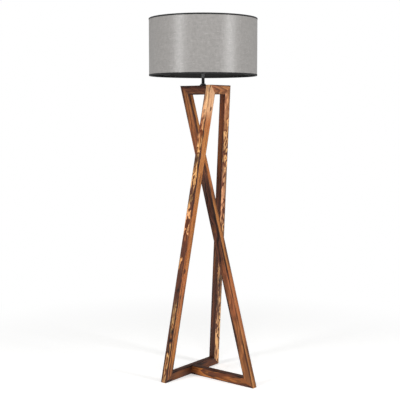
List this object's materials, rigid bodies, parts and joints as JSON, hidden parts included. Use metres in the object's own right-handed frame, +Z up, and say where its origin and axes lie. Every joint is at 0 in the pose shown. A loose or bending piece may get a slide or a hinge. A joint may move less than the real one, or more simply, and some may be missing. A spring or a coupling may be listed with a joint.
{
  "type": "tripod floor lamp",
  "caption": "Floor lamp with a grey drum shade on a stand of two mitred timber frames that cross and stand on three points.",
  "frame": {"origin": "on the floor, on the axis of the lampholder and shade, under the base stem", "axes": "+Z up along the lamp axis; +X along the base bar, towards the right leg; +Y towards the base bar, away from the front foot"},
  "size_m": [0.4399, 0.485, 1.478],
  "materials": {
    "pine": "scorched and satin varnished, sawn grain",
    "dowel_beech": "plain",
    "black_steel": "satin black",
    "zinc_steel": "zinc plated",
    "frame_steel": "black baked paint",
    "holder_plastic": "moulded thermoset",
    "ceramic": "unglazed insulator",
    "contact_brass": "bare",
    "nickel": "nickel plated",
    "glass_black": "insulator",
    "bulb_plastic": "white",
    "board": "white solder mask",
    "opal": "opal diffuser",
    "liner": "matt dark grey film",
    "linen": "grey linen weave",
    "black_tape": "woven binding"
  },
  "bodies": {
    "stand": {"base_bar": "pine", "base_stem": "pine", "left_leg": "pine", "right_leg": "pine", "front_leg": "pine", "top_bar": "pine", "top_stem": "pine", "corner_dowels": "dowel_beech", "tee_dowels": "dowel_beech", "threaded_tube": "zinc_steel", "tube_washer": "zinc_steel", "tube_nut": "zinc_steel", "base_collar": "black_steel", "cover_sleeve": "black_steel", "lampholder_cap": "holder_plastic", "lampholder_body": "holder_plastic", "lampholder_core": "ceramic", "terminal_screws": "contact_brass", "lampholder_screw_shell": "contact_brass", "lampholder_contact": "contact_brass"},
    "shade": {"spider_ring": "frame_steel", "spider_arms": "frame_steel", "bottom_wire_ring": "frame_steel", "top_wire_ring": "frame_steel", "shade_liner": "liner", "shade_cover": "linen", "bottom_trim": "black_tape", "top_trim": "black_tape"},
    "clamp_ring": {"shade_clamp_ring": "holder_plastic"},
    "bulb": {"bulb_contact": "nickel", "bulb_insulator": "glass_black", "bulb_cap": "nickel", "bulb_body": "bulb_plastic", "bulb_led_board": "board", "bulb_globe": "opal"}
  },
  "joints": [
    {"name": "shade_turn", "type": "hinge", "parent": "stand", "child": "shade", "pos_m": [0, 0, 1.29], "axis": [0, 0, 1], "continuous": true},
    {"name": "clamp_ring_turn", "type": "hinge", "parent": "stand", "child": "clamp_ring", "pos_m": [0, 0, 1.295], "axis": [0, 0, 1], "continuous": true},
    {"name": "bulb_turn", "type": "hinge", "parent": "stand", "child": "bulb", "pos_m": [0, 0, 1.305], "axis": [0, 0, 1], "continuous": true}
  ]
}
